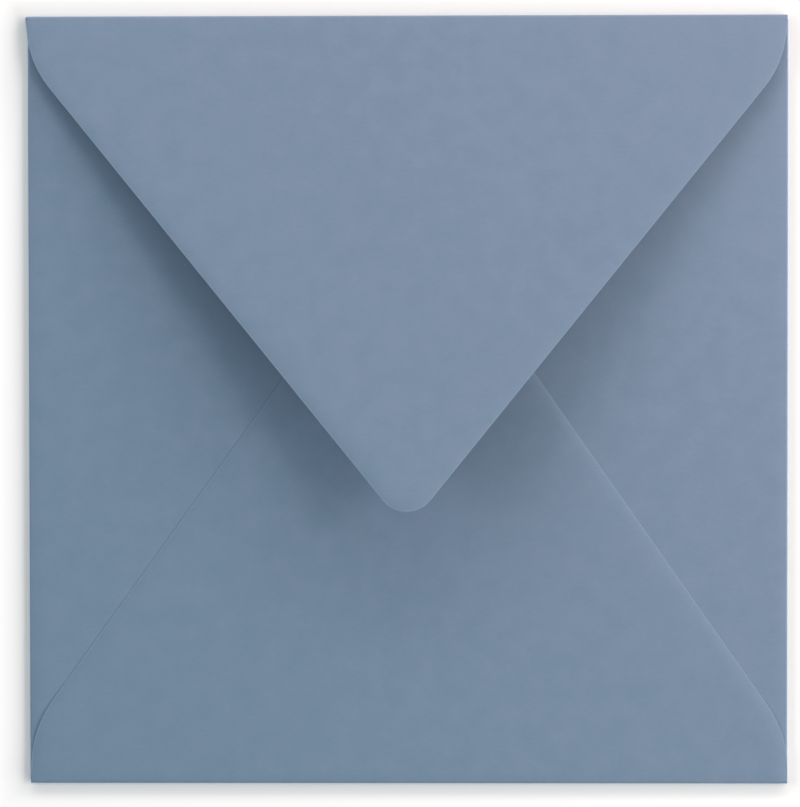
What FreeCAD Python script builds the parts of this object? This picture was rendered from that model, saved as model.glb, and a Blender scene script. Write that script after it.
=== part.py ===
"""A square paper envelope with a pointed seal flap, folded from one die-cut sheet.

It lies on its front panel with the flap side up. The origin is the middle of the front panel's outer
face, +Y points to the seal flap's fold and +Z is up. The sheet turns a round crease on each of its four
sides. The two side flaps fold in first, the bottom flap folds up over them and is glued down along its
two slanting seams, and the seal flap closes over all of them, unstuck and a little lifted.
Lengths are in millimetres and angles in degrees.
"""
import FreeCAD
import Part

import math
import os

# The sheet
paper_thickness = 0.16

# The closed envelope, seen from above
envelope_width = 154.2
envelope_height = 156.0

# The pocket between the front panel and the back wall
pocket_gap = 0.5
pocket_rise = 1.5

# The seal flap: its depth is from the fold to the rounded tip, and it is a little wider than the envelope
seal_flap_width = 154.7
seal_flap_shift = -0.11
seal_flap_depth = 100.6
seal_shoulder_inset = 0.9
seal_shoulder_drop = 9.7
seal_shoulder_radius = 21.6
seal_tip_radius = 6.1
seal_clearance = 0.13
seal_flap_lift = 6.0

# The bottom flap, glued over the side flaps, and folded a little askew
bottom_flap_width = 153.7
bottom_flap_shift = 0.2
bottom_flap_depth = 111.6
bottom_flap_lean = 0.37
bottom_shoulder_drop = 10.7
bottom_shoulder_radius = 23.0
bottom_tip_radius = 10.0

# The side flaps, hidden under the other two
side_flap_length = 71.0
side_tip_height = 82.0
side_tip_radius = 9.0
corner_relief = 0.4

# The glue along the bottom flap's seams
glue_thickness = 0.05
glue_width = 8.0
glue_margin = 1.5

# Heights of the layers at the creases
side_flap_top = pocket_gap + 2 * paper_thickness
bottom_flap_top = side_flap_top + glue_thickness + paper_thickness
seal_flap_top = side_flap_top + seal_clearance + paper_thickness

# The front panel's flat part, inside its four creases
panel_half_width = envelope_width / 2 - side_flap_top / 2
panel_low = -envelope_height / 2 + bottom_flap_top / 2
panel_high = envelope_height / 2 - seal_flap_top / 2

UP = FreeCAD.Vector(0, 0, 1)


def rounded_outline(corners):
    """A closed flat wire through corners, each an (x, y, radius) with a tangent arc where radius isn't 0."""
    count = len(corners)
    starts, ends, arcs = [], [], []
    for i in range(count):
        x, y, radius = corners[i]
        here = FreeCAD.Vector(x, y, 0)
        before = FreeCAD.Vector(*corners[i - 1][:2], 0) - here
        after = FreeCAD.Vector(*corners[(i + 1) % count][:2], 0) - here
        before.normalize()
        after.normalize()
        if radius == 0:
            starts.append(here)
            ends.append(here)
            arcs.append(None)
            continue
        half_corner = before.getAngle(after) / 2
        to_tangent = radius / math.tan(half_corner)
        to_middle = radius / math.sin(half_corner) - radius
        inward = (before + after).normalize()
        starts.append(here + before * to_tangent)
        ends.append(here + after * to_tangent)
        arcs.append(Part.Arc(starts[i], here + inward * to_middle, ends[i]).toShape())
    edges = []
    for i in range(count):
        if arcs[i]:
            edges.append(arcs[i])
        following = starts[(i + 1) % count]
        edges.append(Part.LineSegment(ends[i], following).toShape())
    return Part.Wire(edges)


def prism(corners, low, high):
    """The upright solid over a rounded outline, from one height to another."""
    outline = Part.Face(rounded_outline(corners))
    outline.translate(UP * low)
    return outline.extrude(UP * (high - low))


def crease(start, along, outward, outer_height, opening=0.0):
    """The sheet's round turn, from the front panel up to a layer whose top is at outer_height.

    It begins at start on the panel's outer face and runs by the vector along. A crease that is open by some
    degrees ends that much before its half turn.
    """
    outer = outer_height / 2
    inner = outer - paper_thickness
    centre = start + UP * outer
    end = math.radians(90 - opening)
    middle = (end - math.pi / 2) / 2

    def point(radius, angle):
        return centre + outward * (radius * math.cos(angle)) + UP * (radius * math.sin(angle))

    low = -math.pi / 2
    outer_arc = Part.Arc(point(outer, low), point(outer, middle), point(outer, end))
    inner_arc = Part.Arc(point(inner, end), point(inner, middle), point(inner, low))
    section = Part.Wire([
        outer_arc.toShape(),
        Part.LineSegment(point(outer, end), point(inner, end)).toShape(),
        inner_arc.toShape(),
        Part.LineSegment(point(inner, low), point(outer, low)).toShape(),
    ])
    return Part.Face(section).extrude(along)


def back_wall(low, thickness):
    """A layer of the back wall over the whole panel, arched between the side folds and most at the mouth."""
    surface = Part.BezierSurface()
    surface.setPole(1, 1, FreeCAD.Vector(-panel_half_width, panel_low, low))
    surface.setPole(2, 1, FreeCAD.Vector(panel_half_width, panel_low, low))
    surface.setPole(1, 2, FreeCAD.Vector(-panel_half_width, panel_high, low))
    surface.setPole(2, 2, FreeCAD.Vector(panel_half_width, panel_high, low))
    surface.increase(2, 3)
    # The middle pole has half of the weight halfway across, so it goes up by twice the rise.
    for row in (3, 4):
        pole = surface.getPole(2, row)
        surface.setPole(2, row, pole + UP * (pocket_rise * 2))
    wall = surface.toShape().extrude(UP * thickness)
    rim = envelope_width / 2 - panel_half_width
    for edge in (-envelope_width / 2, panel_half_width):
        corner = FreeCAD.Vector(edge, panel_low, low)
        wall = wall.fuse(Part.makeBox(rim, panel_high - panel_low, thickness, corner))
    return wall


def layer(corners, low, thickness=paper_thickness):
    """The part of a back wall layer inside a rounded outline."""
    return back_wall(low, thickness).common(prism(corners, 0, low + thickness + 2 * pocket_rise))


def front_panel():
    """The flat front of the envelope, which it lies on."""
    size_x = 2 * panel_half_width
    size_y = panel_high - panel_low
    return Part.makeBox(size_x, size_y, paper_thickness, FreeCAD.Vector(-panel_half_width, panel_low, 0))


def side_flap_corners():
    """The left side flap's outline: a long triangle whose rounded tip nearly reaches the middle."""
    tip_x = side_flap_length - panel_half_width
    tip_y = side_tip_height - envelope_height / 2
    top = (-panel_half_width, panel_high - corner_relief, 0)
    bottom = (-panel_half_width, panel_low + corner_relief, 0)
    return [bottom, (tip_x, tip_y, side_tip_radius), top]


def side_flap():
    """The left side flap with its crease."""
    corners = side_flap_corners()
    bottom, top = corners[0], corners[-1]
    start = FreeCAD.Vector(bottom[0], bottom[1], 0)
    along = FreeCAD.Vector(0, top[1] - bottom[1], 0)
    turn = crease(start, along, FreeCAD.Vector(-1, 0, 0), side_flap_top)
    return turn.fuse(layer(corners, side_flap_top - paper_thickness))


def pointed_flap_corners(
        fold_y, start_y, width, shift, depth, inset, drop, shoulder_radius, tip_radius, lean=0.0):
    """A pointed flap's outline: two corners where it leaves its crease, two round shoulders and a round tip.

    The drop to the shoulders and the depth to the tip are measured from the fold. inset is how much each
    side comes in on its way to the shoulder, and lean turns the flap, but not its fold, towards +X.
    """
    half = width / 2 - inset
    rise = depth - drop
    slant = math.asin(tip_radius / math.hypot(half, rise - tip_radius)) + math.atan2(rise - tip_radius, half)
    sharp_depth = drop + half * math.tan(slant)
    toward = math.copysign(1, start_y - fold_y)
    cosine, sine = math.cos(math.radians(lean)), math.sin(math.radians(lean))

    def leaned(x, down, radius):
        return (shift + x * cosine + down * sine, fold_y + toward * (down * cosine - x * sine), radius)

    return [
        (shift - width / 2, start_y, 0),
        leaned(-half, drop, shoulder_radius),
        leaned(0, sharp_depth, tip_radius),
        leaned(half, drop, shoulder_radius),
        (shift + width / 2, start_y, 0),
    ]


def bottom_flap_corners():
    """The bottom flap's outline, which points up from the bottom crease."""
    return pointed_flap_corners(
        -envelope_height / 2, panel_low, bottom_flap_width, bottom_flap_shift, bottom_flap_depth,
        0, bottom_shoulder_drop, bottom_shoulder_radius, bottom_tip_radius, bottom_flap_lean)


def seal_flap_corners():
    """The seal flap's outline before it is lifted, which points down from the top crease."""
    return pointed_flap_corners(
        envelope_height / 2, panel_high, seal_flap_width, seal_flap_shift, seal_flap_depth,
        seal_shoulder_inset, seal_shoulder_drop, seal_shoulder_radius, seal_tip_radius)


def bottom_flap():
    """The bottom flap with its crease."""
    start = FreeCAD.Vector(bottom_flap_shift - bottom_flap_width / 2, panel_low, 0)
    along = FreeCAD.Vector(bottom_flap_width, 0, 0)
    turn = crease(start, along, FreeCAD.Vector(0, -1, 0), bottom_flap_top)
    return turn.fuse(layer(bottom_flap_corners(), bottom_flap_top - paper_thickness))


def glue_line(shoulder, tip, overlap):
    """The glue under one slanting seam of the bottom flap, only where it meets the side flap in overlap."""
    start = FreeCAD.Vector(*shoulder[:2], 0)
    end = FreeCAD.Vector(*tip[:2], 0)
    inward = UP.cross(end - start).normalize()
    if inward.x * start.x > 0:
        inward = inward * -1
    near, far = inward * glue_margin, inward * (glue_margin + glue_width)
    band = [start + near, end + near, end + far, start + far]
    low = side_flap_top - paper_thickness / 2
    strip = layer([(p.x, p.y, 0) for p in band], low, glue_thickness + paper_thickness)
    return strip.common(overlap)


def seal_flap():
    """The seal flap with its crease, lifted from the back wall by the crease's spring."""
    start = FreeCAD.Vector(seal_flap_shift - seal_flap_width / 2, panel_high, 0)
    along = FreeCAD.Vector(seal_flap_width, 0, 0)
    turn = crease(start, along, FreeCAD.Vector(0, 1, 0), seal_flap_top, seal_flap_lift)
    flap = prism(seal_flap_corners(), seal_flap_top - paper_thickness, seal_flap_top)
    crease_centre = FreeCAD.Vector(0, panel_high, seal_flap_top / 2)
    flap.rotate(crease_centre, FreeCAD.Vector(1, 0, 0), -seal_flap_lift)
    return turn.fuse(flap)


def mirrored(shape):
    """The shape's mirror image on the other side of the envelope's middle line."""
    return shape.mirror(FreeCAD.Vector(0, 0, 0), FreeCAD.Vector(1, 0, 0))


def glue():
    """Both glue lines."""
    top = seal_flap_top + 2 * pocket_rise
    under = prism(bottom_flap_corners(), 0, top)
    left_overlap = prism(side_flap_corners(), 0, top)
    right_overlap = mirrored(left_overlap)
    _, left_shoulder, tip, right_shoulder, _ = bottom_flap_corners()
    left = glue_line(left_shoulder, tip, left_overlap.common(under))
    right = glue_line(right_shoulder, tip, right_overlap.common(under))
    return [left, right]


def envelope():
    """The whole folded and glued sheet as one solid."""
    left = side_flap()
    folded = front_panel().fuse([left, mirrored(left), bottom_flap(), seal_flap(), *glue()])
    return folded.removeSplitter()


def main():
    os.makedirs("parts", exist_ok=True)
    solid = envelope()
    if len(solid.Solids) != 1 or not solid.isValid():
        raise SystemExit("the envelope isn't one valid solid")
    solid.Solids[0].exportStep("parts/envelope.step")


main()
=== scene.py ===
"""A blue-grey paper envelope, folded from one sheet and lying flap side up, dressed for Blender.

The sheet is meshed again from the flaps' outlines, with the soft unevenness, the squeezed cut edges and the
fibres that real paper has. Sizes in the code are in millimetres, and Blender's objects are in metres.
"""
import math

import bmesh
import bpy
from mathutils import Color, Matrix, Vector
from mathutils.geometry import delaunay_2d_cdt
from mathutils.kdtree import KDTree


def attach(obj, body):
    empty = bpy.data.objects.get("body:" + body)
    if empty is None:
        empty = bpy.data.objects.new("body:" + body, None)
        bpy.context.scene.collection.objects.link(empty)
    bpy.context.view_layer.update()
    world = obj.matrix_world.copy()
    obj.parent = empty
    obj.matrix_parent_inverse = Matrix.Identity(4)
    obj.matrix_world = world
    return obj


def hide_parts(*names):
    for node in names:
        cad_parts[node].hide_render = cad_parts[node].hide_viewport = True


bl_info = {
    "name": "Paper Envelope",
    "version": (1, 0, 0),
    "blender": (4, 5, 0),
    "location": "3D View > Sidebar > Envelope",
    "description": "Folds a square paper envelope and sets a plain studio stage round it",
    "category": "Object",
}

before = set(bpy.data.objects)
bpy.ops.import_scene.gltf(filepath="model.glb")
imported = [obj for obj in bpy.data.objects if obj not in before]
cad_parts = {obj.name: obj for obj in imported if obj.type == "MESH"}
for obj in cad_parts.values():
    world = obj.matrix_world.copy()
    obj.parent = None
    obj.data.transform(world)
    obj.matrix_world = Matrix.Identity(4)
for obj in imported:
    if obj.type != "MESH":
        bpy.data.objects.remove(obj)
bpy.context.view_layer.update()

MM = 0.001

# The folded sheet's sizes, the same as in the part's source
SHEET = 0.16
WIDTH = 154.2
HEIGHT = 156.0
POCKET_GAP = 0.5
POCKET_RISE = 1.5
GLUE = 0.05
SEAL_CLEARANCE = 0.13
SEAL_LIFT = math.radians(6.0)
SIDE_FLAP_LENGTH = 71.0
SIDE_TIP_Y = 4.0
SIDE_TIP_RADIUS = 9.0
CORNER_RELIEF = 0.4

SIDE_TOP = POCKET_GAP + 2 * SHEET
BOTTOM_TOP = SIDE_TOP + GLUE + SHEET
SEAL_TOP = SIDE_TOP + SEAL_CLEARANCE + SHEET
PANEL_X = WIDTH / 2 - SIDE_TOP / 2
PANEL_LOW = -HEIGHT / 2 + BOTTOM_TOP / 2
PANEL_HIGH = HEIGHT / 2 - SEAL_TOP / 2

# How far inside the envelope's sides the seal flap's right corner and the bottom flap's left corner end
SEAL_CORNER_IN = 0.2
BOTTOM_CORNER_IN = 0.15

# How finely the sheet is meshed, how close its grid comes to an edge, and how near two places are the same
GRID_STEP = 2.4
EDGE_STEP = 1.2
CREASE_ROWS = 10
GRID_CLEARANCE = 0.6 * GRID_STEP
NEAR = 1e-6

# The die squeezes the sheet at a cut edge: how far it goes down there, the share of its thickness that
# stays, and how much of both is left some way in. Under the bottom flap's edge that just closes the
# glue's gap.
EDGE_DROP = 0.105
EDGE_THICKNESS = 0.31
EDGE_RINGS = ((0.2, 0.85), (0.9, 0.38), (2.2, 0.0))

# The bottom flap's shoulders stand up outside the glue: how far, how far round their middles, where the
# middles are, in from the side crease and up from the bottom crease, and how far up that crease holds them
SHOULDER_RISE = 0.15
SHOULDER_REACH = 16.0
SHOULDER_IN = 1.0
SHOULDER_UP = 11.0
SHOULDER_HELD = 9.0

# The back wall's waves as a share of the seal flap's, and how far from a crease each is at its full height
WALL_WAVE = 0.3
WALL_WAVE_START = 15.0
SEAL_WAVE_START = 30.0

# Sizes of what shows in the paper: the fibre bundles, how many times longer than thick they are, the
# pulp's clouds, the tooth of the surface and its depth, and the torn fibres of a cut edge
BUNDLE = 1.4
BUNDLE_STRETCH = 2.6
CLOUD = 5.0
TOOTH = 0.25
TOOTH_DEPTH = 0.012
TORN_FIBRE = 0.6

# How far the paper's colour is painted towards the violet dye per metre to the right and per metre up, a
# painted tint for the warmer light of the right and far softboxes
PAINTED_WARM_LIGHT_DRIFT = 4.0

# The backdrop's white, and how far from the envelope's sides the floor has gone over into it, with painted
# shade that keeps the floor darker near the envelope: about 4 cm
BACKDROP_WHITE = 0.95
PAINTED_SHADE_FADE = 43.0

# Each softbox's power setting, its direction, its height and the band that it fills upward in degrees,
# its distance in metres, and its colour setting
SOFTBOXES = (
    ("low_right", 0, 10, 8, 0.8, "lamp_colour"),
    ("high_right", 0, 31, 14, 0.8, "lamp_colour"),
    ("far_right", 45, 15, 12, 0.9, "lamp_colour"),
    ("far", 90, 19, 10, 1.0, "lamp_colour"),
    ("far_left", 135, 15, 12, 1.0, "window_colour"),
    ("left", 180, 24, 14, 0.8, "window_colour"),
    ("near_right", 315, 15, 12, 0.9, "window_colour"),
)


def pointed_outline(
        fold_y, start_y, width, shift, depth, inset, drop, shoulder_radius, tip_radius, lean=0.0):
    """Corners (x, y, radius) of a pointed flap, from one end of its crease round the tip to the other."""
    half = width / 2 - inset
    rise = depth - drop
    slant = math.asin(tip_radius / math.hypot(half, rise - tip_radius)) + math.atan2(rise - tip_radius, half)
    sharp_depth = drop + half * math.tan(slant)
    toward = math.copysign(1, start_y - fold_y)
    cosine, sine = math.cos(math.radians(lean)), math.sin(math.radians(lean))

    def leaned(x, down, radius):
        return (shift + x * cosine + down * sine, fold_y + toward * (down * cosine - x * sine), radius)

    return [
        (shift - width / 2, start_y, 0),
        leaned(-half, drop, shoulder_radius),
        leaned(0, sharp_depth, tip_radius),
        leaned(half, drop, shoulder_radius),
        (shift + width / 2, start_y, 0),
    ]


def seal_outline():
    """The seal flap's corners. Its right corner goes in to the side fold."""
    corners = pointed_outline(
        fold_y=HEIGHT / 2, start_y=PANEL_HIGH, width=154.7, shift=-0.11, depth=100.6, inset=0.9, drop=9.7,
        shoulder_radius=21.6, tip_radius=6.1)
    return [*corners[:-1], (WIDTH / 2 - SEAL_CORNER_IN, PANEL_HIGH, 0)]


def bottom_outline():
    """The bottom flap's corners. Its left corner comes out to the side fold."""
    corners = pointed_outline(
        fold_y=-HEIGHT / 2, start_y=PANEL_LOW, width=153.7, shift=0.2, depth=111.6, inset=0, drop=10.7,
        shoulder_radius=23.0, tip_radius=10.0, lean=0.37)
    return [(BOTTOM_CORNER_IN - WIDTH / 2, PANEL_LOW, 0), *corners[1:]]


def side_outline(side):
    """The left (-1) or right (1) flap, from the bottom end of its crease to the top end."""
    x = side * PANEL_X
    return [
        (x, PANEL_LOW + CORNER_RELIEF, 0),
        (x - side * SIDE_FLAP_LENGTH, SIDE_TIP_Y, SIDE_TIP_RADIUS),
        (x, PANEL_HIGH - CORNER_RELIEF, 0),
    ]


def cut_line(corners):
    """Points along straight runs and tangent arcs, close enough together for a smooth cut edge."""
    points = []
    last = len(corners) - 1
    for i, (x, y, radius) in enumerate(corners):
        here = Vector((x, y))
        if i in (0, last):
            points.append(here)
            continue
        before = (Vector(corners[i - 1][:2]) - here).normalized()
        after = (Vector(corners[i + 1][:2]) - here).normalized()
        half_corner = before.angle(after) / 2
        middle = here + (before + after).normalized() * (radius / math.sin(half_corner))
        first = here + before * (radius / math.tan(half_corner)) - middle
        final = here + after * (radius / math.tan(half_corner)) - middle
        turn = math.atan2(first.cross(final), first.dot(final))
        count = max(8, round(abs(turn) * radius / EDGE_STEP))
        for k in range(count + 1):
            cosine, sine = math.cos(turn * k / count), math.sin(turn * k / count)
            turned = Vector((first.x * cosine - first.y * sine, first.x * sine + first.y * cosine))
            points.append(middle + turned)
    spaced = [points[0]]
    for a, b in zip(points, points[1:]):
        count = max(1, round((b - a).length / EDGE_STEP))
        spaced += [a.lerp(b, k / count) for k in range(1, count + 1)]
    return spaced


def stations(ends, stops):
    """Places along a fold line, a grid step apart at most, with every end and stop among them."""
    marks = sorted(set([*ends, *stops]))
    places = [marks[0]]
    for a, b in zip(marks, marks[1:]):
        count = max(1, round((b - a) / GRID_STEP))
        places += [a + (b - a) * k / count for k in range(1, count + 1)]
    return places


def ring_inside(line, clockwise, distance):
    """A line that follows a cut edge some way in, for the squeezed rim."""
    ring = []
    for a, b, c in zip(line, line[1:], line[2:]):
        along = (c - a).normalized()
        inward = Vector((along.y, -along.x)) if clockwise else Vector((-along.y, along.x))
        ring.append(b + inward * distance)
    return ring[1:-1]


class Sheet:
    """The sheet's middle surface, put together from flat patches and creases."""

    def __init__(self):
        self.mesh = bmesh.new()
        self.blank = self.mesh.loops.layers.uv.new("blank")
        self.pressed = self.mesh.verts.layers.deform.verify()

    def face(self, places, blanks, presses=()):
        """Adds one face, with each corner's place in the flat blank as its texture coordinate.

        presses gives how much each corner is pressed by the die, from 0 to 1 at a cut edge.
        """
        made = self.mesh.faces.new([self.mesh.verts.new(Vector(p) * MM) for p in places])
        made.material_index = 1 if presses and min(presses) > 0.5 else 0
        for loop, (u, v) in zip(made.loops, blanks):
            loop[self.blank].uv = (u * MM, v * MM)
        for vert, press in zip(made.verts, presses):
            vert[self.pressed][0] = press

    def patch(self, line, fold, place, blank):
        """A flat region between a cut edge and its fold line, laid out by place and blank."""
        outline = line + fold
        area = sum(a.cross(b) for a, b in zip(outline, outline[1:] + outline[:1]))
        points = list(outline)
        pressed = {k: 1.0 for k in range(len(line))}
        edges = []
        for distance, share in EDGE_RINGS:
            ring = ring_inside(line, area < 0, distance)
            start = len(points)
            points += ring
            pressed.update({start + k: share for k in range(len(ring))})
            edges += [(start + k, start + k + 1) for k in range(len(ring) - 1)]
        near = KDTree(len(points))
        for k, p in enumerate(points):
            near.insert(p.to_3d(), k)
        near.balance()
        low = Vector((min(p.x for p in outline), min(p.y for p in outline)))
        high = Vector((max(p.x for p in outline), max(p.y for p in outline)))
        for j in range(1, int((high.y - low.y) / GRID_STEP)):
            for i in range(1, int((high.x - low.x) / GRID_STEP) + 1):
                p = low + Vector((i - 0.5 * (j % 2), j)) * GRID_STEP
                if near.find(p.to_3d())[2] > GRID_CLEARANCE:
                    points.append(p)
        inside_only, same_point = 1, 1e-5
        made = delaunay_2d_cdt(points, edges, [list(range(len(outline)))], inside_only, same_point)
        spots, faces, sources = made[0], made[2], made[3]
        presses = [max((pressed.get(k, 0.0) for k in source), default=0.0) for source in sources]
        for corners in faces:
            self.face(
                [place(spots[c], presses[c] * EDGE_DROP) for c in corners],
                [blank(spots[c]) for c in corners],
                [presses[c] for c in corners])

    def crease(self, places, place, blank, turn):
        """The round turn along a fold, as rows of faces between the fold line's stations."""
        for a, b in zip(places, places[1:]):
            for k in range(CREASE_ROWS):
                low, high = turn * k / CREASE_ROWS, turn * (k + 1) / CREASE_ROWS
                corners = [(a, low), (b, low), (b, high), (a, high)]
                self.face(
                    [place(s, angle) for s, angle in corners],
                    [blank(s, angle) for s, angle in corners])


def wall_rise(x, y):
    """How far the back wall stands up from the flat at a place, most at the mouth's middle."""
    across = min(1.0, max(0.0, (x + PANEL_X) / (2 * PANEL_X)))
    up = min(1.0, max(0.0, (y - PANEL_LOW) / (PANEL_HIGH - PANEL_LOW)))
    return POCKET_RISE * 4 * across * (1 - across) * (3 * up ** 2 - 2 * up ** 3)


def shoulder_rise(x, y):
    """How far the bottom flap stands up from the side flaps round its shoulders, where no glue holds it."""
    apart = math.hypot(PANEL_X - SHOULDER_IN - abs(x), y - PANEL_LOW - SHOULDER_UP) / SHOULDER_REACH
    from_fold = min(1.0, max(0.0, (y - PANEL_LOW) / SHOULDER_HELD))
    return SHOULDER_RISE * max(0.0, 1 - apart) ** 2 * from_fold


def unevenness(x, y, phase):
    """The sheet's soft waves, 3 to 11 cm long, as a share of their height."""
    return (
        0.45 * math.sin(x / 13.7 + 1.3 * phase) * math.cos(y / 17.1 - 0.7 * phase)
        + 0.35 * math.sin((x + 0.6 * y) / 9.1 + 2.1 * phase)
        + 0.20 * math.cos((0.8 * x - y) / 5.9 + phase)
    )


def wall_height(x, y, from_crease, wave):
    """How far the back wall stands up with its waves, which grow with the distance from the crease."""
    grown = min(1.0, from_crease / WALL_WAVE_START)
    return wall_rise(x, y) + grown * wave * WALL_WAVE * unevenness(x, y, 2.0)


def front_panel(sheet, top, bottom, side):
    """The front panel, flat on the table, between the stations of the four creases."""
    left, right = -PANEL_X, PANEL_X
    outline = [Vector((left, PANEL_LOW))]
    outline += [Vector((x, PANEL_LOW)) for x in bottom if left + NEAR < x < right - NEAR]
    outline += [Vector((right, y)) for y in side]
    outline += [Vector((x, PANEL_HIGH)) for x in reversed(top) if left + NEAR < x < right - NEAR]
    outline += [Vector((left, y)) for y in reversed(side[1:])]
    sheet.patch([], outline, lambda p, drop: (p.x, p.y, SHEET / 2), lambda p: (p.x, p.y))


def side_flap(sheet, sign, places, wave):
    """The left (-1) or right (1) flap, folded in over the pocket."""
    radius = SIDE_TOP / 2 - SHEET / 2
    arc = math.pi * radius
    edge = sign * PANEL_X

    def turn_place(y, angle):
        return (edge + sign * radius * math.sin(angle), y, SIDE_TOP / 2 - radius * math.cos(angle))

    def turn_blank(y, angle):
        return (edge + sign * radius * angle, y)

    def flap_place(p, drop):
        return (p.x, p.y, SIDE_TOP - SHEET / 2 + wall_height(p.x, p.y, abs(p.x - edge), wave) - drop)

    def flap_blank(p):
        return (edge + sign * (arc + abs(p.x - edge)), p.y)

    sheet.crease(places, turn_place, turn_blank, math.pi)
    fold = [Vector((edge, y)) for y in reversed(places[1:-1])]
    sheet.patch(cut_line(side_outline(sign)), fold, flap_place, flap_blank)


def bottom_flap(sheet, places, wave):
    """The bottom flap, glued down on the side flaps."""
    radius = BOTTOM_TOP / 2 - SHEET / 2
    arc = math.pi * radius

    def turn_place(x, angle):
        return (x, PANEL_LOW - radius * math.sin(angle), BOTTOM_TOP / 2 - radius * math.cos(angle))

    def turn_blank(x, angle):
        return (x, PANEL_LOW - radius * angle)

    def flap_place(p, drop):
        rise = wall_height(p.x, p.y, p.y - PANEL_LOW, wave) + shoulder_rise(p.x, p.y)
        return (p.x, p.y, BOTTOM_TOP - SHEET / 2 + rise - drop)

    def flap_blank(p):
        return (p.x, PANEL_LOW - arc - (p.y - PANEL_LOW))

    sheet.crease(places, turn_place, turn_blank, math.pi)
    fold = [Vector((x, PANEL_LOW)) for x in reversed(places[1:-1])]
    sheet.patch(cut_line(bottom_outline()), fold, flap_place, flap_blank)


def seal_flap(sheet, places, wave):
    """The seal flap, sprung up a little from its crease."""
    radius = SEAL_TOP / 2 - SHEET / 2
    turn = math.pi - SEAL_LIFT
    cosine, sine = math.cos(SEAL_LIFT), math.sin(SEAL_LIFT)

    def turn_place(x, angle):
        return (x, PANEL_HIGH + radius * math.sin(angle), SEAL_TOP / 2 - radius * math.cos(angle))

    def turn_blank(x, angle):
        return (x, PANEL_HIGH + radius * angle)

    def flap_place(p, drop):
        down = PANEL_HIGH - p.y
        bend = wave * min(1.0, down / SEAL_WAVE_START) * unevenness(p.x, p.y, 5.0) - drop
        y = PANEL_HIGH - down * cosine + (radius + bend) * sine
        z = SEAL_TOP / 2 + down * sine + (radius + bend) * cosine
        return (p.x, y, z)

    def flap_blank(p):
        return (p.x, PANEL_HIGH + turn * radius + (PANEL_HIGH - p.y))

    sheet.crease(places, turn_place, turn_blank, turn)
    fold = [Vector((x, PANEL_HIGH)) for x in reversed(places[1:-1])]
    sheet.patch(cut_line(seal_outline()), fold, flap_place, flap_blank)


def fold_sheet(wave):
    """The whole envelope's middle surface, in the row's frame."""
    sheet = Sheet()
    top_ends = [seal_outline()[0][0], seal_outline()[-1][0]]
    bottom_ends = [bottom_outline()[0][0], bottom_outline()[-1][0]]
    side_ends = [PANEL_LOW + CORNER_RELIEF, PANEL_HIGH - CORNER_RELIEF]
    top = stations(top_ends, [-PANEL_X, PANEL_X])
    bottom = stations(bottom_ends, [max(-PANEL_X, bottom_ends[0]), PANEL_X])
    side = stations([PANEL_LOW, PANEL_HIGH], side_ends)
    front_panel(sheet, top, bottom, side)
    side_places = [y for y in side if side_ends[0] - NEAR <= y <= side_ends[1] + NEAR]
    for sign in (-1, 1):
        side_flap(sheet, sign, side_places, wave)
    bottom_flap(sheet, bottom, wave)
    seal_flap(sheet, top, wave)
    same_place = 0.002 * MM
    bmesh.ops.remove_doubles(sheet.mesh, verts=sheet.mesh.verts, dist=same_place)
    bmesh.ops.recalc_face_normals(sheet.mesh, faces=sheet.mesh.faces)
    return sheet.mesh


def linear(hex_colour):
    """A hex sRGB colour as linear red, green, blue and alpha."""
    channels = [int(hex_colour[i:i + 2], 16) / 255 for i in (1, 3, 5)]
    return (*Color(channels).from_srgb_to_scene_linear(), 1.0)


def node(tree, kind, settings=(), **links):
    """Adds a node. settings gives attributes and input values by name, and links joins outputs to inputs."""
    made = tree.nodes.new(kind)
    for name, value in dict(settings).items():
        if hasattr(made, name):
            setattr(made, name, value)
        else:
            made.inputs[name].default_value = value
    for name, output in links.items():
        tree.links.new(output, made.inputs[name.replace("_", " ")])
    return made


def new_material(name):
    """An empty node material with its shader and output."""
    material = bpy.data.materials.new(name)
    material.use_nodes = True
    tree = material.node_tree
    tree.nodes.clear()
    shader = node(tree, "ShaderNodeBsdfPrincipled")
    output = node(tree, "ShaderNodeOutputMaterial")
    tree.links.new(shader.outputs["BSDF"], output.inputs["Surface"])
    return material, tree, shader


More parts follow.
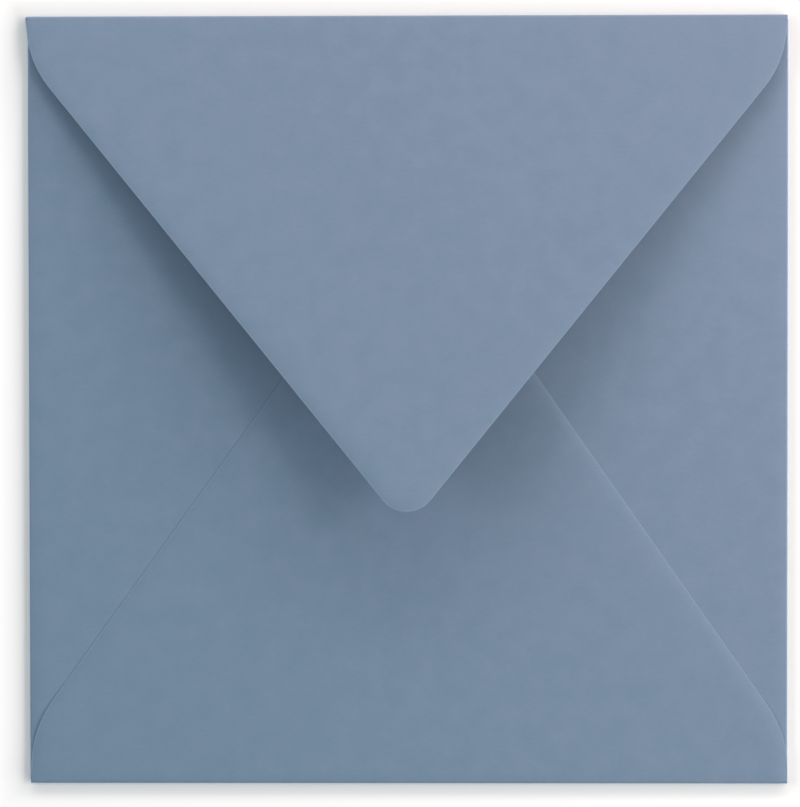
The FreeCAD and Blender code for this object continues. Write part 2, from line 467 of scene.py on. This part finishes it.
def wove_paper(settings):
    """Uncoated wove paper, dyed in the pulp: dead matt, with fibres that took the dye a little unevenly."""
    material, tree, shader = new_material("uncoated wove paper")
    shader.inputs["Roughness"].default_value = 0.9
    shader.inputs["IOR"].default_value = 1.5
    shader.inputs["Specular IOR Level"].default_value = 0.1
    blank = node(tree, "ShaderNodeUVMap", {"uv_map": "blank"})
    # Fibre bundles lie along the paper machine's direction, across the envelope: about 1.4 by 0.5 mm.
    stretched = node(
        tree, "ShaderNodeMapping", {"Scale": (1.0, BUNDLE_STRETCH, 1.0)}, Vector=blank.outputs["UV"])
    bundles = node(
        tree, "ShaderNodeTexNoise", {"Scale": 1 / (BUNDLE * MM), "Detail": 2.0, "Roughness": 0.6},
        Vector=stretched.outputs["Vector"])
    flecks = node(
        tree, "ShaderNodeMapRange",
        {"From Min": 0.36, "From Max": 0.64, "To Min": 1 - settings.fleck, "To Max": 1 + settings.fleck},
        Value=bundles.outputs["Fac"])
    # The pulp's cloudiness, seen against the light as formation, about 5 mm across.
    cloud = node(
        tree, "ShaderNodeTexNoise", {"Scale": 1 / (CLOUD * MM), "Detail": 3.0}, Vector=blank.outputs["UV"])
    clouds = node(
        tree, "ShaderNodeMapRange",
        {"From Min": 0.3, "From Max": 0.7, "To Min": 1 - settings.cloud, "To Max": 1 + settings.cloud},
        Value=cloud.outputs["Fac"])
    both = node(tree, "ShaderNodeMath", {"operation": "MULTIPLY"})
    tree.links.new(flecks.outputs["Result"], both.inputs[0])
    tree.links.new(clouds.outputs["Result"], both.inputs[1])
    # Painted warm light: the colour leans to violet towards the top right, where the warmer softboxes stand,
    # and a little to either side with the clouds, as the dye itself does.
    place = node(tree, "ShaderNodeTexCoord")
    # Painted tint of the warmer light, growing to the right and up
    painted_warm_light = node(tree, "ShaderNodeVectorMath", {"operation": "DOT_PRODUCT"})
    tree.links.new(place.outputs["Object"], painted_warm_light.inputs[0])
    painted_warm_light.inputs[1].default_value = (PAINTED_WARM_LIGHT_DRIFT, PAINTED_WARM_LIGHT_DRIFT, 0.0)
    spots = node(
        tree, "ShaderNodeMapRange", {"From Min": 0.3, "From Max": 0.7, "To Min": 0.3, "To Max": 0.7},
        Value=cloud.outputs["Fac"])
    # The mix takes the painted warm light and the dye's own spots together
    lean = node(tree, "ShaderNodeMath", {"operation": "ADD"})
    tree.links.new(painted_warm_light.outputs["Value"], lean.inputs[0])
    tree.links.new(spots.outputs["Result"], lean.inputs[1])
    dye = node(
        tree, "ShaderNodeMix",
        {"data_type": "RGBA", "A": linear(settings.green_dye), "B": linear(settings.violet_dye)},
        Factor=lean.outputs["Value"])
    colour = node(tree, "ShaderNodeVectorMath", {"operation": "SCALE"})
    tree.links.new(dye.outputs["Result"], colour.inputs[0])
    tree.links.new(both.outputs["Value"], colour.inputs["Scale"])
    tree.links.new(colour.outputs["Vector"], shader.inputs["Base Color"])
    # The felt side's tooth, fine enough to break up any shine: fibres about 0.25 mm apart.
    tooth = node(
        tree, "ShaderNodeTexNoise", {"Scale": 1 / (TOOTH * MM), "Detail": 3.0},
        Vector=stretched.outputs["Vector"])
    relief = node(
        tree, "ShaderNodeBump", {"Strength": 0.5, "Distance": TOOTH_DEPTH * MM}, Height=tooth.outputs["Fac"])
    tree.links.new(relief.outputs["Normal"], shader.inputs["Normal"])
    return material


def cut_edge_paper(settings):
    """The same sheet where the die cut it: torn fibre ends, paler and rougher than the face."""
    material, tree, shader = new_material("die-cut paper edge")
    shader.inputs["Roughness"].default_value = 1.0
    shader.inputs["IOR"].default_value = 1.5
    shader.inputs["Specular IOR Level"].default_value = 0.1
    blank = node(tree, "ShaderNodeUVMap", {"uv_map": "blank"})
    ends = node(
        tree, "ShaderNodeTexNoise", {"Scale": 1 / (TORN_FIBRE * MM), "Detail": 2.0},
        Vector=blank.outputs["UV"])
    colour = node(
        tree, "ShaderNodeMix",
        {"data_type": "RGBA", "A": linear(settings.green_dye), "B": linear(settings.cut_edge)},
        Factor=ends.outputs["Fac"])
    tree.links.new(colour.outputs["Result"], shader.inputs["Base Color"])
    return material


def backdrop_rays(tree):
    """An output that is 1 where the camera sees the backdrop, itself or in a shiny or clear thing."""
    rays = node(tree, "ShaderNodeLightPath")
    either = rays.outputs["Is Camera Ray"]
    for name in ("Is Glossy Ray", "Is Transmission Ray"):
        largest = node(tree, "ShaderNodeMath", {"operation": "MAXIMUM"})
        tree.links.new(either, largest.inputs[0])
        tree.links.new(rays.outputs[name], largest.inputs[1])
        either = largest.outputs["Value"]
    return either


def studio_floor(settings):
    """A seamless white paper sweep: matt, white where the camera looks at it, and painted darker near the
    envelope's sides.
    """
    material, tree, shader = new_material("white sweep")
    shader.inputs["Base Color"].default_value = linear(settings.floor)
    shader.inputs["Roughness"].default_value = 0.9
    shader.inputs["Specular IOR Level"].default_value = 0.0
    shader.inputs["Emission Color"].default_value = (1.0, 1.0, 1.0, 1.0)
    # Painted shade: seen by the camera, the sweep is held darker along the envelope's sides and goes over
    # into plain white away from them.
    place = node(tree, "ShaderNodeTexCoord")
    beside = node(tree, "ShaderNodeVectorMath", {"operation": "ABSOLUTE"})
    tree.links.new(place.outputs["Object"], beside.inputs[0])
    sides = node(tree, "ShaderNodeSeparateXYZ", Vector=beside.outputs["Vector"])
    apart = node(tree, "ShaderNodeMath", {"operation": "MAXIMUM"})
    tree.links.new(sides.outputs["X"], apart.inputs[0])
    tree.links.new(sides.outputs["Y"], apart.inputs[1])
    side = WIDTH / 2
    white = node(
        tree, "ShaderNodeMapRange",
        {
            "From Min": side * MM,
            "From Max": (side + PAINTED_SHADE_FADE) * MM,
            "To Min": settings.glow_in_painted_shade,
            "To Max": BACKDROP_WHITE,
        },
        Value=apart.outputs["Value"])
    glow = node(tree, "ShaderNodeMath", {"operation": "MULTIPLY"})
    tree.links.new(backdrop_rays(tree), glow.inputs[0])
    tree.links.new(white.outputs["Result"], glow.inputs[1])
    tree.links.new(glow.outputs["Value"], shader.inputs["Emission Strength"])
    return material


class PaperSettings(bpy.types.PropertyGroup):
    """The paper's colours and how uneven it is."""
    wave: bpy.props.FloatProperty(
        name="Waves", description="Height of the sheet's soft waves, in millimetres",
        default=0.12, min=0, max=1)
    fleck: bpy.props.FloatProperty(
        name="Flecks", description="How much the fibre bundles vary the colour",
        default=0.015, min=0, max=0.3, subtype="FACTOR")
    cloud: bpy.props.FloatProperty(
        name="Clouds", description="How much the pulp's clouds vary the colour",
        default=0.017, min=0, max=0.3, subtype="FACTOR")
    green_dye: bpy.props.StringProperty(
        name="Greener dye", description="Hex colour where the dye leans to green", default="#788fa5")
    violet_dye: bpy.props.StringProperty(
        name="More violet dye", description="Hex colour where the dye leans to violet", default="#8291a8")
    cut_edge: bpy.props.StringProperty(
        name="Cut edge", description="Hex colour of the bare fibre ends", default="#92a3b5")


class StageSettings(bpy.types.PropertyGroup):
    """The floor's colour and the strengths and colours of the lights."""
    floor: bpy.props.StringProperty(
        name="Floor", description="Hex colour of the floor", default="#fefbfa")
    # The camera-seen white right at the envelope's sides, where the painted shade is deepest
    glow_in_painted_shade: bpy.props.FloatProperty(
        name="Floor glow", description="White added where the camera sees the floor beside the envelope",
        default=0.01, min=0, max=1)
    low_right: bpy.props.FloatProperty(
        name="Low right", description="Power of the softbox just above the floor on the right",
        default=2.69, min=0, subtype="POWER", unit="POWER")
    high_right: bpy.props.FloatProperty(
        name="High right", description="Power of the softbox higher up on the right",
        default=2.51, min=0, subtype="POWER", unit="POWER")
    far_right: bpy.props.FloatProperty(
        name="Far right", description="Power of the softbox past the top right corner",
        default=3.95, min=0, subtype="POWER", unit="POWER")
    far: bpy.props.FloatProperty(
        name="Far", description="Power of the softbox past the seal flap's fold",
        default=4.36, min=0, subtype="POWER", unit="POWER")
    far_left: bpy.props.FloatProperty(
        name="Far left", description="Power of the softbox past the top left corner",
        default=2.74, min=0, subtype="POWER", unit="POWER")
    left: bpy.props.FloatProperty(
        name="Left", description="Power of the softbox on the left",
        default=2.28, min=0, subtype="POWER", unit="POWER")
    near_right: bpy.props.FloatProperty(
        name="Near right", description="Power of the softbox off the bottom right corner",
        default=4.53, min=0, subtype="POWER", unit="POWER")
    lamp_colour: bpy.props.StringProperty(
        name="Lamp colour", description="Hex colour of the softboxes on the right and far sides",
        default="#fff5f0")
    window_colour: bpy.props.StringProperty(
        name="Window colour", description="Hex colour of the cooler softboxes on the left and near sides",
        default="#f8fdff")
    ambient: bpy.props.FloatProperty(
        name="Ambient", description="Strength of the even light from all round",
        default=0.175, min=0, max=5)
    ambient_colour: bpy.props.StringProperty(
        name="Ambient colour", description="Hex colour of the even light, bluish as from the sky",
        default="#d9f5ff")


class ENVELOPE_OT_fold_sheet(bpy.types.Operator):
    """Folds the sheet into the envelope and gives it its paper"""
    bl_idname = "envelope.fold_sheet"
    bl_label = "Fold the Sheet"

    def execute(self, context):
        settings = context.scene.envelope_paper
        folded = fold_sheet(settings.wave)
        mesh = bpy.data.meshes.new("envelope_sheet")
        folded.to_mesh(mesh)
        folded.free()
        sheet = bpy.data.objects.new("envelope_sheet", mesh)
        sheet.vertex_groups.new(name="pressed")
        context.scene.collection.objects.link(sheet)
        mesh.materials.append(wove_paper(settings))
        mesh.materials.append(cut_edge_paper(settings))
        body = sheet.modifiers.new("paper thickness", "SOLIDIFY")
        body.thickness = SHEET * MM
        body.offset = 0.0
        body.use_even_offset = True
        body.vertex_group = "pressed"
        body.invert_vertex_group = True
        body.thickness_vertex_group = EDGE_THICKNESS
        body.material_offset_rim = 1
        thick = bpy.data.meshes.new_from_object(sheet.evaluated_get(context.evaluated_depsgraph_get()))
        sheet.modifiers.clear()
        sheet.data = thick
        bpy.data.meshes.remove(mesh)
        thick.name = "envelope_sheet"
        thick.shade_smooth()
        thick.set_sharp_from_angle(angle=math.radians(40))
        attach(sheet, "root")
        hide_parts("envelope")
        return {"FINISHED"}


class ENVELOPE_OT_set_stage(bpy.types.Operator):
    """Sets the floor, the ring of low softboxes, the even light and the camera"""
    bl_idname = "envelope.set_stage"
    bl_label = "Set the Stage"

    def execute(self, context):
        settings = context.scene.envelope_stage
        scene = context.scene
        scene.view_settings.view_transform = "Standard"
        self.lay_floor(scene, settings)
        for box, azimuth, elevation, band, distance, colour in SOFTBOXES:
            self.softbox(
                scene, box.replace("_", " ") + " softbox", azimuth, elevation, band, distance,
                getattr(settings, box), linear(getattr(settings, colour)))
        self.light_evenly(scene, settings)
        self.place_camera(scene)
        return {"FINISHED"}

    def lay_floor(self, scene, settings):
        """A large white floor just under the envelope."""
        mesh = bpy.data.meshes.new("floor")
        size = 3.0
        below = -0.05 * MM
        mesh.from_pydata(
            [(-size, -size, below), (size, -size, below), (size, size, below), (-size, size, below)], [],
            [(0, 1, 2, 3)])
        mesh.materials.append(studio_floor(settings))
        floor = bpy.data.objects.new("floor", mesh)
        scene.collection.objects.link(floor)

    def softbox(self, scene, name, azimuth, elevation, band, distance, power, colour):
        """A softbox turned to the envelope's middle, 45 degrees wide from there and band degrees high."""
        across, up = math.radians(azimuth), math.radians(elevation)
        toward = Vector((math.cos(up) * math.cos(across), math.cos(up) * math.sin(across), math.sin(up)))
        place = toward * distance
        data = bpy.data.lights.new(name, "AREA")
        data.shape = "RECTANGLE"
        data.size = 2 * distance * math.cos(up) * math.tan(math.radians(22.5))
        data.size_y = 2 * distance * math.tan(math.radians(band / 2))
        data.energy = power
        data.color = colour[:3]
        lamp = bpy.data.objects.new(name, data)
        lamp.location = place
        lamp.rotation_euler = (-place).to_track_quat("-Z", "Y").to_euler()
        scene.collection.objects.link(lamp)

    def light_evenly(self, scene, settings):
        """The even light from all round, which is seen as white as the floor far from the envelope."""
        world = bpy.data.worlds.new("even light")
        world.use_nodes = True
        tree = world.node_tree
        tree.nodes.clear()
        light = node(
            tree, "ShaderNodeBackground",
            {"Color": linear(settings.ambient_colour), "Strength": settings.ambient})
        white = node(
            tree, "ShaderNodeBackground", {"Color": (1.0, 1.0, 1.0, 1.0), "Strength": BACKDROP_WHITE})
        either = node(tree, "ShaderNodeMixShader", Fac=backdrop_rays(tree))
        tree.links.new(light.outputs["Background"], either.inputs[1])
        tree.links.new(white.outputs["Background"], either.inputs[2])
        node(tree, "ShaderNodeOutputWorld", Surface=either.outputs["Shader"])
        scene.world = world

    def place_camera(self, scene):
        """The camera nearly straight above the envelope."""
        data = bpy.data.cameras.new("camera")
        data.lens = 130.0
        data.sensor_width = 36.0
        data.clip_start = 0.01
        camera = bpy.data.objects.new("camera", data)
        camera.location = (0.0073, 0.01189, 0.59252)
        camera.rotation_euler = [math.radians(a) for a in (-1.212, 0.856, -0.074)]
        scene.collection.objects.link(camera)
        scene.camera = camera


class ENVELOPE_PT_panel(bpy.types.Panel):
    """Lists the envelope's two steps and their settings"""
    bl_idname = "ENVELOPE_PT_panel"
    bl_label = "Paper Envelope"
    bl_space_type = "VIEW_3D"
    bl_region_type = "UI"
    bl_category = "Envelope"

    def draw(self, context):
        layout = self.layout
        for owner, operator in (
                (context.scene.envelope_paper, ENVELOPE_OT_fold_sheet),
                (context.scene.envelope_stage, ENVELOPE_OT_set_stage)):
            box = layout.box()
            box.operator(operator.bl_idname)
            for name in owner.__annotations__:
                box.prop(owner, name)


CLASSES = (PaperSettings, StageSettings, ENVELOPE_OT_fold_sheet, ENVELOPE_OT_set_stage, ENVELOPE_PT_panel)


def register():
    for cls in CLASSES:
        bpy.utils.register_class(cls)
    bpy.types.Scene.envelope_paper = bpy.props.PointerProperty(type=PaperSettings)
    bpy.types.Scene.envelope_stage = bpy.props.PointerProperty(type=StageSettings)


def unregister():
    del bpy.types.Scene.envelope_stage
    del bpy.types.Scene.envelope_paper
    for cls in reversed(CLASSES):
        bpy.utils.unregister_class(cls)


def main():
    register()
    bpy.ops.envelope.fold_sheet()
    bpy.ops.envelope.set_stage()


if __name__ == "__main__":
    main()
